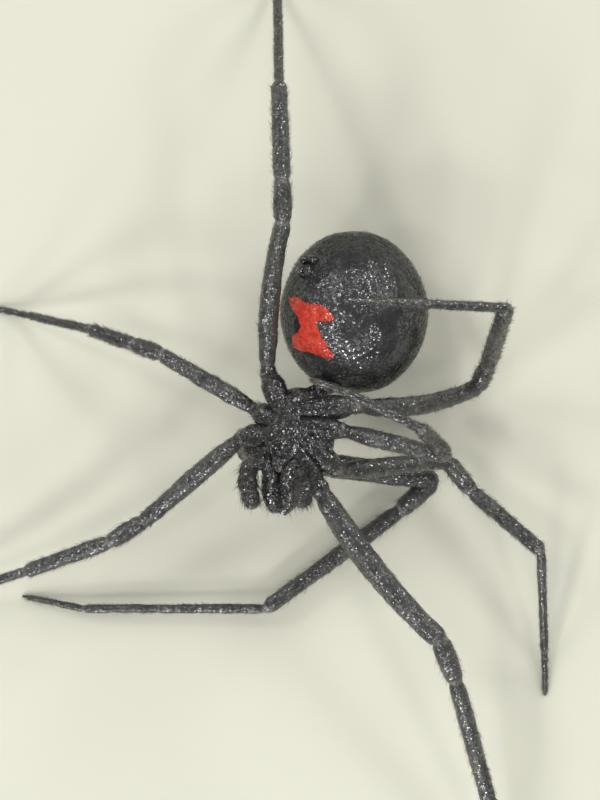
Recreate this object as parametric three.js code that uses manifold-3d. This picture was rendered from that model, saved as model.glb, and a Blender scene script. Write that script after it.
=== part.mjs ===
// A female black widow spider at life size, in millimetres, on its back with the belly up and legs spread.
// +Z is up, away from what it lies on. The belly is rolled towards -X, so the right side is the higher one.
// The body and each leg are posed by azimuths, counted from +X towards +Y, and elevations above the floor.
import * as THREE from "three";
import { mergeVertices } from "three/addons/utils/BufferGeometryUtils.js";
import Module from "manifold-3d";

const wasm = await Module();
wasm.setup();

// Driving dimensions
const GAP = 0.2; // between neighbouring pieces
const FLAT_DEPTH = 0.06; // how much of a resting foot is flattened by the floor

const ABDOMEN = {
  centre: [2.2, 5.25, 2.89],
  azimuth: 92,
  elevation: 0,
  roll: 35, // the belly is turned this far from straight up, in degrees
  halfWidth: 2.8,
  halfLength: 3.12,
  bellyHeight: 2.85,
  backHeight: 3.02,
  taper: 0.05, // the rear is this share narrower than the middle
};
const SPINNERETS = { latitude: 34, across: -0.45, spread: 0.25, length: 0.65, radius: 0.19, sunk: 0.35 };
const HOURGLASS = {
  rearLatitude: 6.5,
  frontLatitude: -29.5,
  rearHalfWidth: 1.13,
  waistHalfWidth: 0.42,
  frontHalfWidth: 1.0,
  across: -0.25, // the mark's middle lies this far to the spider's left
  slant: -0.34, // how far towards the rear the mark runs for each step to the right
  depth: 0.55,
};

const PROSOMA = { centre: [-0.5, 0.75, 5.3], azimuth: 82, elevation: 0, roll: 32 };
const CARAPACE = {
  width: 3.3,
  length: 4.1,
  headTaper: 0.3,
  forward: 0.35,
  margin: -0.95,
  above: 1.0,
  below: 0.72,
};
const STERNUM = { halfWidth: 0.8, halfLength: 1.2, dome: 0.16, depth: 0.6, rearTaper: 0.55 };
const EYES = { smallRadius: 0.11, largeRadius: 0.13 };
const PEDICEL = { radius: 0.32, latitude: -62, across: -0.3 };
const CHELICERA = { radius: 0.5, base: [0.52, -1.6, -0.8], tip: [0.22, -3.1, -0.5] };

// Each pair's five segments from femur to tarsus. The feet are no thinner than 0.5 mm.
const LEG_PAIRS = {
  1: { lengths: [7.5, 1.7, 6.5, 7.1, 2.4], widths: [0.94, 0.8, 0.64, 0.5, 0.5] },
  2: { lengths: [5.2, 1.5, 3.6, 4.5, 1.8], widths: [0.76, 0.68, 0.6, 0.5, 0.5] },
  3: { lengths: [4.2, 1.2, 2.0, 3.1, 1.4], widths: [0.68, 0.62, 0.56, 0.5, 0.5] },
  4: { lengths: [6.1, 1.55, 4.4, 5.0, 1.8], widths: [0.76, 0.7, 0.62, 0.5, 0.5] },
};
// Where each pair's hip leaves the edge of the breastplate: to the side, back, and its greatest radius.
const HIP_ROOTS = {
  1: { side: 0.6, back: -0.8, radius: 0.45 },
  2: { side: 0.75, back: -0.25, radius: 0.45 },
  3: { side: 0.7, back: 0.3, radius: 0.43 },
  4: { side: 0.45, back: 0.85, radius: 0.45 },
};
const HIP_DEPTH = -0.45;
const BALL_RADIUS = { 1: 0.4, 2: 0.35, 3: 0.32, 4: 0.35 };

// The pose: [length, azimuth, elevation] of each hip, then [azimuth, elevation] of its five segments.
// bow is how far the femur's middle stands out, as [across, up]. Where a leg rests on the floor, ankle is
// the height of its last joint, and the elevations of its last two segments follow from that.
const POSE = {
  r1: {
    hip: [1.35, -60, -4],
    segments: [[-51.7, -2], [-69, -16], [-74, -24], [-77, 0], [-79, 0]],
    bow: [-0.3, 0],
    ankle: 0.55,
  },
  r2: {
    hip: [1.75, -44, -12],
    segments: [[5, -35], [-51, -4], [-41, 14], [-86.5, 0], [-88, 0]],
    bow: [0, 0.15],
    ankle: 0.55,
  },
  r3: {
    hip: [1.42, -8, -5],
    segments: [[-14, 20], [128, 58], [137, 66], [154, 8], [161, 0]],
    bow: [0, 0.1],
  },
  r4: {
    hip: [2.05, 5, -6],
    segments: [[8.5, -38], [68, 52], [76, 61], [178, 27], [178, 22]],
    bow: [-0.35, 0],
  },
  l1: {
    hip: [2.16, 186, -60],
    segments: [[-8.6, -12.2], [223, -8], [216.2, -2], [180, -2.5], [169, -5.6]],
    bow: [0, 0],
    ankle: 0.5,
  },
  l2: {
    hip: [1.34, 183, -35],
    segments: [[220.5, -14], [211, 0], [199.6, -15], [198, 0], [196, 0]],
    bow: [0, 0.1],
    ankle: 0.55,
  },
  l3: {
    hip: [1.1, 150, -42],
    segments: [[149.6, -5], [160, -12], [161, -28], [167, 0], [168, 0]],
    bow: [0, 0.1],
    ankle: 0.5,
  },
  l4: {
    hip: [1.55, 113, -27],
    segments: [[84.3, 20], [91, 8], [92, -30], [91, -47], [91, -10]],
    bow: [0.2, 0],
    ankle: 0.55,
  },
};
const PALPS = {
  // the root in the front body's frame, then [length, azimuth, elevation] of its four segments
  left: {
    root: [-0.72, -1.25, -0.15],
    segments: [[0.52, 193, 8], [0.5, 250, -4], [0.52, 278, -2], [0.75, 287, -4]],
  },
  right: {
    root: [0.95, -1.45, -0.1],
    segments: [[0.42, -70, 42], [0.36, -86, 34], [0.34, -95, 18], [0.45, -99, -22]],
  },
};
const PALP_WIDTHS = [0.52, 0.54, 0.58, 0.58];

const DEG = Math.PI / 180;
const FOOT_HEIGHT = 0.44 * 0.25 - FLAT_DEPTH; // of the middle of a resting foot's tip
const UP = new THREE.Vector3(0, 0, 1);

function direction(azimuth, elevation) {
  const level = Math.cos(elevation * DEG);
  return new THREE.Vector3(
    Math.cos(azimuth * DEG) * level,
    Math.sin(azimuth * DEG) * level,
    Math.sin(elevation * DEG),
  );
}

// A body's own frame: x to the spider's right, y to its rear, z out of its belly.
function bodyFrame({ centre, azimuth, elevation, roll }) {
  const rear = direction(azimuth, elevation);
  const up = UP.clone().addScaledVector(rear, -rear.z).normalize();
  const side = new THREE.Vector3().crossVectors(rear, up);
  const cosine = Math.cos(roll * DEG);
  const sine = Math.sin(roll * DEG);
  const right = side.clone().multiplyScalar(cosine).addScaledVector(up, sine);
  const belly = up.clone().multiplyScalar(cosine).addScaledVector(side, -sine);
  return new THREE.Matrix4().makeBasis(right, rear, belly).setPosition(...centre);
}

const abdomenFrame = bodyFrame(ABDOMEN);
const prosomaFrame = bodyFrame(PROSOMA);
const inProsoma = (x, y, z) => new THREE.Vector3(x, y, z).applyMatrix4(prosomaFrame);

// A closed geometry as a solid, placed by a matrix.
function solidOf(geometry, matrix = new THREE.Matrix4()) {
  const bare = geometry.clone();
  bare.deleteAttribute("normal");
  if (bare.getAttribute("uv")) bare.deleteAttribute("uv");
  bare.applyMatrix4(matrix);
  const merged = mergeVertices(bare, 1e-4);
  const corners = merged.index.array;
  const kept = [];
  for (let i = 0; i < corners.length; i += 3) {
    const [a, b, c] = corners.slice(i, i + 3);
    if (a !== b && b !== c && c !== a) kept.push(a, b, c);
  }
  return new wasm.Manifold(
    new wasm.Mesh({
      numProp: 3,
      vertProperties: new Float32Array(merged.attributes.position.array),
      triVerts: new Uint32Array(kept),
    }),
  );
}

function geometryOf(solid) {
  const mesh = solid.getMesh();
  const geometry = new THREE.BufferGeometry();
  geometry.setAttribute("position", new THREE.BufferAttribute(new Float32Array(mesh.vertProperties), 3));
  geometry.setIndex(new THREE.BufferAttribute(new Uint32Array(mesh.triVerts), 1));
  geometry.computeVertexNormals();
  return geometry;
}

const joined = (solids) => solids.reduce((all, one) => all.add(one));
const largest = (solid) => solid.decompose().sort((a, b) => b.volume() - a.volume())[0];

// A unit ball whose every point is moved by a shape function, with its poles on the y axis.
function blob(around, along, shape, matrix) {
  const geometry = new THREE.SphereGeometry(1, around, along);
  const points = geometry.getAttribute("position");
  for (let i = 0; i < points.count; i++) {
    points.setXYZ(i, ...shape(points.getX(i), points.getY(i), points.getZ(i)));
  }
  return solidOf(geometry, matrix);
}

const ball = (centre, radius, around = 8, along = 6) =>
  solidOf(new THREE.SphereGeometry(radius, around, along), new THREE.Matrix4().setPosition(...centre));

// A turned, closed limb from one point along a direction. stations are [share of length, share of radius].
function limb(start, along, length, radius, stations, sides = 8, bow = null) {
  const profile = [
    new THREE.Vector2(0, stations[0][0] * length),
    ...stations.map(([t, r]) => new THREE.Vector2(r * radius, t * length)),
    new THREE.Vector2(0, stations.at(-1)[0] * length),
  ];
  const turn = new THREE.Quaternion().setFromUnitVectors(new THREE.Vector3(0, 1, 0), along);
  const geometry = new THREE.LatheGeometry(profile, sides);
  geometry.applyQuaternion(turn);
  if (bow) {
    const points = geometry.getAttribute("position");
    for (let i = 0; i < points.count; i++) {
      const point = new THREE.Vector3().fromBufferAttribute(points, i);
      const t = point.dot(along) / length;
      point.addScaledVector(bow, 4 * t * (1 - t));
      points.setXYZ(i, point.x, point.y, point.z);
    }
  }
  return solidOf(geometry, new THREE.Matrix4().setPosition(start));
}

const FEMUR = [[0, 0.66], [0.08, 0.85], [0.25, 1], [0.5, 1], [0.8, 0.88], [1, 0.8]];
const PATELLA = [[0, 0.92], [0.3, 1], [1, 0.8]];
const TIBIA = [[0, 0.86], [0.15, 1], [0.6, 0.93], [1, 0.86]];
const METATARSUS = [[0, 1], [1, 1]];
const TARSUS = [[0, 1], [0.6, 0.94], [0.9, 0.72], [1, 0.44]];
const STATIONS = [FEMUR, PATELLA, TIBIA, METATARSUS, TARSUS];

// The abdomen's surface from a point on the unit ball.
function abdomenShape(x, y, z, grow = 0) {
  const width = (ABDOMEN.halfWidth + grow) * (1 - ABDOMEN.taper * Math.max(0, y));
  const height = (z > 0 ? ABDOMEN.bellyHeight : ABDOMEN.backHeight) + grow;
  return [x * width, y * (ABDOMEN.halfLength + grow), z * height];
}

// A point of the abdomen's belly: latitude towards the rear, and distance across it.
function bellyPoint(latitude, across, grow = 0) {
  const level = Math.cos(latitude * DEG);
  const turn = across / (ABDOMEN.halfWidth * level);
  return new THREE.Vector3(
    ...abdomenShape(Math.sin(turn) * level, Math.sin(latitude * DEG), Math.cos(turn) * level, grow),
  );
}

// The hourglass mark's half width, from its front end at 0 to its rear end at 1.
function hourglassHalfWidth(share) {
  const end = share < 0.5 ? HOURGLASS.frontHalfWidth : HOURGLASS.rearHalfWidth;
  const waist = HOURGLASS.waistHalfWidth;
  return waist + (end - waist) * Math.pow(Math.abs(2 * share - 1), 1.25);
}

// The mark as a curved slab that follows the belly, made wider and deeper by grow, and raised by lift.
function hourglassSlab(grow, lift) {
  const rows = 10;
  const columns = 4;
  const growAngle = grow / ABDOMEN.halfLength / DEG;
  const front = HOURGLASS.frontLatitude - growAngle;
  const rear = HOURGLASS.rearLatitude + growAngle;
  const plane = new THREE.BoxGeometry(1, 1, 1, columns, rows, 1);
  const points = plane.getAttribute("position");
  for (let i = 0; i < points.count; i++) {
    const share = points.getY(i) + 0.5;
    const halfWidth = hourglassHalfWidth(share) + grow;
    const out = points.getZ(i) > 0 ? lift : -HOURGLASS.depth - grow;
    const across = 2 * points.getX(i) * halfWidth;
    const slant = (HOURGLASS.slant * across) / ABDOMEN.halfLength / DEG;
    const latitude = front + (rear - front) * share + slant;
    const point = bellyPoint(latitude, across + HOURGLASS.across, out);
    points.setXYZ(i, point.x, point.y, point.z);
  }
  return solidOf(plane, abdomenFrame);
}

// What lies under the floor, cut away so that the spider rests on small flats.
const floor = solidOf(
  new THREE.BoxGeometry(80, 80, 4),
  new THREE.Matrix4().setPosition(0, 0, -2),
);

const SPINNERET = [[0, 1], [0.7, 0.9], [0.95, 0.62], [1, 0.4]];

// One of the four large spinnerets, in two rows that lean together.
function spinneret(side, row) {
  const { latitude, across, spread, sunk, length } = SPINNERETS;
  const root = bellyPoint(latitude + row * 9, across + side * spread, -sunk);
  const tip = bellyPoint(latitude + row * 7, across + side * spread * 0.7, length);
  const along = tip.clone().sub(root).transformDirection(abdomenFrame);
  root.applyMatrix4(abdomenFrame);
  return limb(root, along, SPINNERETS.length, SPINNERETS.radius, SPINNERET, 8);
}

function abdomen() {
  const bulb = blob(30, 20, (x, y, z) => abdomenShape(x, y, z), abdomenFrame);
  const cones = [-1, 1].flatMap((side) => [-0.6, 0.6].map((row) => spinneret(side, row)));
  return largest(joined([bulb, ...cones]).subtract(hourglassSlab(GAP, 0.4)).subtract(floor));
}

function hipChain(name) {
  const pair = name[1];
  const side = name[0] === "r" ? 1 : -1;
  const root = HIP_ROOTS[pair];
  const start = inProsoma(side * root.side, root.back, HIP_DEPTH);
  const [length, azimuth, elevation] = POSE[name].hip;
  const along = direction(azimuth, elevation);
  return { start, along, length, radius: root.radius, end: start.clone().addScaledVector(along, length) };
}

// The breastplate: a shield with its point at the rear.
function sternum(grow) {
  return blob(14, 10, (x, y, z) => {
    const narrowing = 1 - (STERNUM.rearTaper * (y + 1)) / 2 + 0.18 * (1 - y * y);
    const width = (STERNUM.halfWidth + grow) * narrowing;
    const height = z > 0 ? STERNUM.dome + grow : STERNUM.depth;
    return [x * width, y * (STERNUM.halfLength + grow), z * height - STERNUM.dome];
  }, prosomaFrame);
}

function carapace(grow) {
  return blob(22, 14, (x, y, z) => {
    const front = Math.max(0, -y);
    const width = (CARAPACE.width / 2 + grow) * (1 - CARAPACE.headTaper * front);
    const halfLength = CARAPACE.length / 2 + grow;
    const height = (z > 0 ? CARAPACE.below : CARAPACE.above * (1 + 0.12 * front)) + grow;
    return [x * width, y * halfLength - CARAPACE.forward, z * height + CARAPACE.margin];
  }, prosomaFrame);
}

// Lip and jaw lobes between the breastplate and the fang bases.
function mouthparts(grow) {
  const lip = blob(8, 6, (x, y, z) => [
    x * (0.34 + grow),
    y * (0.34 + grow) - 1.3,
    z * (0.3 + grow) - 0.2,
  ], prosomaFrame);
  const lobes = [-1, 1].map((side) =>
    blob(10, 8, (x, y, z) => [
      x * (0.3 + grow) + side * (0.44 + 0.12 * y),
      y * (0.5 + grow) - 1.5,
      z * (0.34 + grow) - 0.24,
    ], prosomaFrame),
  );
  return joined([lip, ...lobes]);
}

// Two rows of four eyes across the front of the head, on its upper side.
function eyes() {
  const rows = [
    { back: -2.12, up: -1.42, sides: [0.17, 0.5], radii: [EYES.largeRadius, EYES.smallRadius] },
    { back: -1.82, up: -1.74, sides: [0.18, 0.56], radii: [EYES.smallRadius, EYES.smallRadius] },
  ];
  return rows.flatMap(({ back, up, sides, radii }) =>
    sides.flatMap((side, i) =>
      [-1, 1].map((mirror) => {
        const centre = inProsoma(mirror * side, back + 0.16 * side, up + 0.3 * side * side);
        return ball(centre, radii[i], 7, 5);
      }),
    ),
  );
}

const HIP = [[-0.25, 0.6], [0, 0.86], [0.3, 1], [0.68, 1], [0.95, 0.84]];

function prosoma(grow = 0) {
  const hips = Object.keys(POSE).map((name) => {
    const hip = hipChain(name);
    const radius = hip.radius + grow;
    const solid = limb(hip.start, hip.along, hip.length, radius, HIP, 10);
    return grow ? solid : solid.subtract(ball(hip.end, BALL_RADIUS[name[1]] + GAP));
  });
  return joined([carapace(grow), sternum(grow), mouthparts(grow), ...hips, ...(grow ? [] : eyes())]);
}

// A thin slab across the bend between two segments, to part them there.
function parting(point, before, after, width) {
  const across = before.clone().add(after).normalize();
  const turn = new THREE.Quaternion().setFromUnitVectors(UP, across);
  const matrix = new THREE.Matrix4().compose(point, turn, new THREE.Vector3(1, 1, 1));
  return solidOf(new THREE.BoxGeometry(width, width, GAP), matrix);
}

// A whole leg, then parted at the knee and at the ankle into femur, shank and foot.
function leg(name) {
  const pair = LEG_PAIRS[name[1]];
  const hip = hipChain(name);
  const pose = POSE[name];
  const pieces = [ball(hip.end, BALL_RADIUS[name[1]])];
  const joints = [hip.end.clone()];
  const ways = [];
  const landing = { 3: pose.ankle, 4: FOOT_HEIGHT };
  pose.segments.forEach(([azimuth, elevation], i) => {
    const length = pair.lengths[i];
    const radius = pair.widths[i] / 2;
    const start = joints.at(-1);
    const rests = pose.ankle && i > 2;
    const rise = rests ? Math.asin((landing[i] - start.z) / length) / DEG : elevation;
    const along = direction(azimuth, rise);
    let bow = null;
    if (i === 0) {
      const across = new THREE.Vector3().crossVectors(UP, along).normalize();
      bow = across.multiplyScalar(pose.bow[0]).addScaledVector(UP, pose.bow[1]);
    }
    pieces.push(limb(start, along, length, radius, STATIONS[i], 8, bow));
    if (i === 2 || i === 4) pieces.push(ball(start, radius * STATIONS[i][0][1]));
    joints.push(start.clone().addScaledVector(along, length));
    ways.push(along);
  });
  let whole = joined(pieces).subtract(floor);
  for (const i of [1, 3]) {
    whole = whole.subtract(parting(joints[i], ways[i - 1], ways[i], 2.2 * pair.widths[i - 1]));
  }
  const parts = whole.decompose().sort((a, b) => b.volume() - a.volume()).slice(0, 3);
  const middle = (i) => joints[i].clone().add(joints[i + 1]).multiplyScalar(0.5);
  const holding = (point) =>
    parts.find((part) => part.intersect(ball(point, 0.1, 6, 4)).volume() > 0);
  return { femur: holding(middle(0)), shank: holding(middle(2)), foot: holding(middle(3)), joints };
}

// A fang base, or the room that it needs when it is grown.
function chelicera(side, stations, grow = 0) {
  const start = inProsoma(side * CHELICERA.base[0], CHELICERA.base[1], CHELICERA.base[2]);
  const end = inProsoma(side * CHELICERA.tip[0], CHELICERA.tip[1], CHELICERA.tip[2]);
  const along = end.clone().sub(start);
  const length = along.length();
  return limb(start, along.normalize(), length, CHELICERA.radius + grow, stations, 10);
}

const PALP_SEGMENT = [[0, 0.95], [0.5, 1], [1, 0.95]];
const PALP_TIP = [[0, 0.95], [0.4, 1], [0.8, 0.75], [1, 0.42]];

function palp({ root, segments }) {
  let start = inProsoma(...root);
  const pieces = [];
  segments.forEach(([length, azimuth, elevation], i) => {
    const along = direction(azimuth, elevation);
    const radius = PALP_WIDTHS[i] / 2;
    const last = i === segments.length - 1;
    pieces.push(limb(start, along, length, radius, last ? PALP_TIP : PALP_SEGMENT));
    pieces.push(ball(start, radius * 0.95, 8, 5));
    start = start.clone().addScaledVector(along, length);
  });
  return joined(pieces);
}

// The stalk between the front body and the abdomen, between the last pair of hips.
function pedicel() {
  const start = inProsoma(0, 1.2, -0.8);
  const end = bellyPoint(PEDICEL.latitude, PEDICEL.across).applyMatrix4(abdomenFrame);
  const along = end.clone().sub(start);
  const length = along.length();
  return limb(start, along.normalize(), length, PEDICEL.radius, [[-0.3, 1], [0.5, 0.9], [1.3, 1]], 10);
}

// The finishes
const finish = (color, roughness) => new THREE.MeshStandardMaterial({ color, roughness, metalness: 0 });
const blackCuticle = finish(0x0b0b0d, 0.32);
const legCuticle = finish(0x100f10, 0.42);
const redMark = finish(0xd1261b, 0.4);
const hairyCuticle = finish(0x171412, 0.55);

const spider = new THREE.Group();
function add(name, solid, material) {
  const mesh = new THREE.Mesh(geometryOf(solid), material);
  mesh.name = name;
  spider.add(mesh);
}

const grownProsoma = prosoma(GAP);
const grownAbdomen = blob(16, 12, (x, y, z) => abdomenShape(x, y, z, GAP), abdomenFrame);
const frontBody = largest(prosoma());

const legs = Object.fromEntries(Object.keys(POSE).map((name) => [name, leg(name)]));
const stalk = largest(pedicel().subtract(grownProsoma).subtract(grownAbdomen));

add("cephalothorax", frontBody, blackCuticle);
add("pedicel", stalk, blackCuticle);
add("abdomen", abdomen(), blackCuticle);
add("hourglass", hourglassSlab(0, 0), redMark);

const JAW = [[0, 0.9], [0.3, 1], [0.55, 0.95], [0.8, 0.72], [0.94, 0.54], [1, 0.4]];
const JAW_ROOM = [[-0.1, 1], [0.55, 0.95], [0.8, 0.8], [1.13, 0.6]];
const grownFace = joined([carapace(GAP), mouthparts(GAP)]);
const midline = solidOf(
  new THREE.BoxGeometry(GAP, 4, 4),
  prosomaFrame.clone().multiply(new THREE.Matrix4().setPosition(0, -2.5, -0.6)),
);
for (const [side, mirror] of [["right", 1], ["left", -1]]) {
  const jaw = chelicera(mirror, JAW).subtract(grownFace).subtract(midline);
  add("chelicera_" + side, largest(jaw), blackCuticle);
}
const jawRoom = joined([-1, 1].map((side) => chelicera(side, JAW_ROOM, GAP)));
for (const [side, plan] of Object.entries(PALPS)) {
  add("palp_" + side, largest(palp(plan).subtract(grownProsoma).subtract(jawRoom)), hairyCuticle);
}
for (const [name, parts] of Object.entries(legs)) {
  for (const part of ["femur", "shank", "foot"]) {
    add(`leg_${name}_${part}`, parts[part], legCuticle);
  }
}

// The origin is on the floor, under the middle of the whole spider.
const reach = new THREE.Box3().setFromObject(spider);
spider.position.set(-(reach.min.x + reach.max.x) / 2, -(reach.min.y + reach.max.y) / 2, 0);

export default spider;
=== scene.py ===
"""A female black widow spider at life size, on its back with its belly up and its legs spread.

Lengths and places are in millimetres in the solids' building frame: the surface the spider lies on is z = 0,
the head points to -Y, and the belly is rolled towards -X. SHIFT moves them to the part's frame as a mesh is
made. The marks on a mesh, such as joint and upward, are attributes that its material reads.
"""

import bpy
import numpy as np
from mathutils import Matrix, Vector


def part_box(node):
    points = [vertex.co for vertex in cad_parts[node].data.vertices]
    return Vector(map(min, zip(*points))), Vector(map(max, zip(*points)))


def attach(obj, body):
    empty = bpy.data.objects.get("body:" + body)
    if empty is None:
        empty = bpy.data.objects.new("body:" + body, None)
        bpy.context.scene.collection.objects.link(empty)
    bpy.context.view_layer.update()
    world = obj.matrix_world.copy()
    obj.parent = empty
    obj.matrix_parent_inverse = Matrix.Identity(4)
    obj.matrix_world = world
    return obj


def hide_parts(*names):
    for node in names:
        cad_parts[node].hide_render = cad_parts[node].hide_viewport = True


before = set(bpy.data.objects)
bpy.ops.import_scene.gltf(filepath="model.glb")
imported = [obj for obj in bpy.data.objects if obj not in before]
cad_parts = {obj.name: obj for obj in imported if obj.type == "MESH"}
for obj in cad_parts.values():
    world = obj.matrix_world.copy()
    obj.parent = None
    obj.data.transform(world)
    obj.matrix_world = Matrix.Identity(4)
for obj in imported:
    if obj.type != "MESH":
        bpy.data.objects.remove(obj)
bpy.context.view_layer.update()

MM = 0.001
DEG = np.pi / 180
UP = np.array([0.0, 0.0, 1.0])
rng = np.random.default_rng(31)

# Driving dimensions, as in the solids
ABDOMEN = {
    "centre": (2.2, 5.25, 2.89), "azimuth": 92, "roll": 35,
    "half_width": 2.8, "half_length": 3.12, "belly_height": 2.85, "back_height": 3.02, "taper": 0.05,
}
FRONT_BODY = {"centre": (-0.5, 0.75, 5.3), "azimuth": 82, "roll": 32}
CARAPACE = {"width": 3.3, "length": 4.1, "head_taper": 0.3, "forward": 0.35, "margin": -0.95,
            "above": 1.0, "below": 0.72}
STERNUM = {"half_width": 0.8, "half_length": 1.2, "dome": 0.16, "depth": 0.6, "rear_taper": 0.55}
SPINNERETS = {"latitude": 34, "across": -0.45, "spread": 0.25, "length": 0.65, "radius": 0.19, "sunk": 0.35}
PEDICEL = {"radius": 0.32, "latitude": -62, "across": -0.3}
CHELICERA = {"base": (0.56, -1.45, -0.8), "tip": (0.14, -3.14, -0.5), "radius": 0.54}

# Each pair's segment lengths from femur to tarsus, and the real radii of the coxa and of those five segments
SEGMENT_LENGTHS = {
    1: (7.5, 1.7, 6.5, 7.1, 2.4),
    2: (5.2, 1.5, 3.6, 4.5, 1.8),
    3: (4.2, 1.2, 2.0, 3.1, 1.4),
    4: (6.1, 1.55, 4.4, 5.0, 1.8),
}
SEGMENT_RADII = {
    1: (0.47, 0.47, 0.4, 0.33, 0.17, 0.13),
    2: (0.46, 0.37, 0.34, 0.3, 0.16, 0.12),
    3: (0.44, 0.33, 0.31, 0.27, 0.15, 0.12),
    4: (0.46, 0.38, 0.36, 0.34, 0.17, 0.13),
}
# Where each pair's hip starts in the front body: across and to the rear, and how deep
HIP_ROOTS = {1: (0.6, -0.8), 2: (0.75, -0.25), 3: (0.7, 0.3), 4: (0.45, 0.85)}
HIP_DEPTH = -0.45
FOOT_HEIGHT = 0.05
LIMB_SIDES = 32
JOINT_WIDTH = 0.11

# The pose: (length, azimuth, elevation) of each hip, then (azimuth, elevation) of the five segments after it.
# bow is how far the femur's middle stands out, aside and up. Where a leg rests, ankle is the height of its
# last joint.
POSE = {
    "r1": {"hip": (1.35, -60, -4), "bow": (-0.3, 0), "ankle": 0.55,
           "segments": [(-51.7, -2), (-69, -16), (-74, -24), (-77, 0), (-79, 0)]},
    "r2": {"hip": (1.75, -44, -12), "bow": (0, 0.15), "ankle": 0.55,
           "segments": [(5, -35), (-51, -4), (-41, 14), (-86.5, 0), (-88, 0)]},
    "r3": {"hip": (1.42, -8, -5), "bow": (0, 0.1), "ankle": None,
           "segments": [(-14, 20), (128, 58), (137, 66), (154, 8), (161, 0)]},
    "r4": {"hip": (2.05, 5, -6), "bow": (-0.35, 0), "ankle": None,
           "segments": [(8.5, -38), (68, 52), (76, 61), (178, 27), (178, 22)]},
    "l1": {"hip": (2.16, 186, -60), "bow": (0, 0), "ankle": 0.5,
           "segments": [(-8.6, -12.2), (223, -8), (216.2, -2), (180, 0), (169, 0)]},
    "l2": {"hip": (1.34, 183, -35), "bow": (0, 0.1), "ankle": 0.55,
           "segments": [(220.5, -14), (211, 0), (199.6, -15), (198, 0), (196, 0)]},
    "l3": {"hip": (1.1, 150, -42), "bow": (0, 0.1), "ankle": 0.5,
           "segments": [(149.6, -5), (160, -12), (161, -28), (167, 0), (168, 0)]},
    "l4": {"hip": (1.55, 113, -27), "bow": (0.2, 0), "ankle": 0.55,
           "segments": [(84.3, 20), (91, 8), (92, -30), (91, 0), (91, 0)]},
}
PALPS = {
    "left": {"root": (-0.72, -1.25, -0.15),
             "segments": [(0.52, 193, 8), (0.5, 250, -4), (0.52, 278, -2), (0.75, 287, -4)]},
    "right": {"root": (0.95, -1.45, -0.1),
              "segments": [(0.42, -70, 42), (0.36, -86, 34), (0.34, -95, 18), (0.45, -99, -22)]},
}
PALP_RADII = (0.3, 0.34, 0.38, 0.35)

# The bristles of a leg's hip, femur, shank and foot: count, length, radius at the root, and bend to the limb
LEG_BRISTLES = [
    (120, 0.13, 0.0055, 0.55), (600, 0.2, 0.006, 0.55), (900, 0.24, 0.0065, 0.5), (1100, 0.24, 0.006, 0.45),
]
BREASTPLATE_BRISTLES = 420
ABDOMEN_BRISTLES = 2600

# The red mark's edge on the belly: across to the right and along to the rear, from its rear left corner on
HOURGLASS = np.array([
    (-1.36, 0.64), (-0.75, 0.62), (-0.42, 0.42), (-0.13, 0.35), (0.4, 0.29), (0.66, 0.12), (0.89, -0.13),
    (0.93, -0.29), (0.77, -0.37), (0.32, -0.33), (0.18, -0.39), (0.25, -0.62), (0.3, -0.91), (0.44, -1.12),
    (0.5, -1.43), (0.63, -1.64), (0.6, -1.82), (0.36, -1.9), (0.09, -1.78), (-0.5, -1.55), (-1.02, -1.47),
    (-1.38, -1.31), (-1.35, -1.09), (-1.25, -0.9), (-0.77, -0.72), (-0.54, -0.53), (-0.65, -0.34),
    (-0.68, -0.1), (-0.81, -0.01), (-1.04, 0.2), (-1.24, 0.39),
])

# The photo's view
PHOTO_HEIGHT = 800
PIXELS_PER_MM = 26.5
VIEW_CENTRE = (0.15, 1.89, 5.2)
LENS = 200.0
SENSOR = 36.0

# The light: azimuth, elevation and power of each lamp, and sizes and distances in metres
SOFT_LAMPS = [(40, 36, 1.15), (135, 34, 1.15), (262, 34, 1.25)]
GLITTER_LAMPS = [
    (52, 22, 0.16), (82, 38, 0.09), (20, 44, 0.09), (140, 42, 0.11), (190, 60, 0.09), (225, 42, 0.15),
    (258, 34, 0.16), (256, 12, 0.24), (320, 45, 0.11),
]
SOFT_SIZE = 0.5
SOFT_DISTANCE = 0.6
GLITTER_SIZE = 0.045
GLITTER_DISTANCE = 0.3
ROOM_LIGHT = 0.15
FLOOR_REACH = 1.2


def unit(vectors):
    """Each vector divided by its length."""
    return vectors / np.linalg.norm(vectors, axis=-1, keepdims=True)


def heading(azimuth, elevation):
    """The direction at an azimuth from +X towards +Y and an elevation above the floor, in degrees."""
    a, e = azimuth * DEG, elevation * DEG
    return np.array([np.cos(a) * np.cos(e), np.sin(a) * np.cos(e), np.sin(e)])


def body_axes(azimuth, roll):
    """Rows: the spider's right, rear and belly directions, for a body that lies level and is rolled."""
    rear = heading(azimuth, 0)
    side = np.cross(rear, UP)
    c, s = np.cos(roll * DEG), np.sin(roll * DEG)
    return np.stack([side * c + UP * s, rear, UP * c - side * s])


ABDOMEN_AXES = body_axes(ABDOMEN["azimuth"], ABDOMEN["roll"])
FRONT_AXES = body_axes(FRONT_BODY["azimuth"], FRONT_BODY["roll"])


def in_front(points):
    """Points in the front body's frame (right, rear, belly) put in the building frame."""
    return np.asarray(points, float) @ FRONT_AXES + np.array(FRONT_BODY["centre"])


def abdomen_ball(x, y, z, lift=0.0):
    """A unit ball's points on the abdomen: x, y and z are stretched to its half width, which narrows by the
    taper towards the rear, its half length, and its height, which differs above and below the middle."""
    width = (ABDOMEN["half_width"] + lift) * (1 - ABDOMEN["taper"] * np.maximum(y, 0))
    height = np.where(z > 0, ABDOMEN["belly_height"], ABDOMEN["back_height"]) + lift
    local = np.stack([x * width, y * (ABDOMEN["half_length"] + lift), z * height], -1)
    return local @ ABDOMEN_AXES + np.array(ABDOMEN["centre"])


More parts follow.
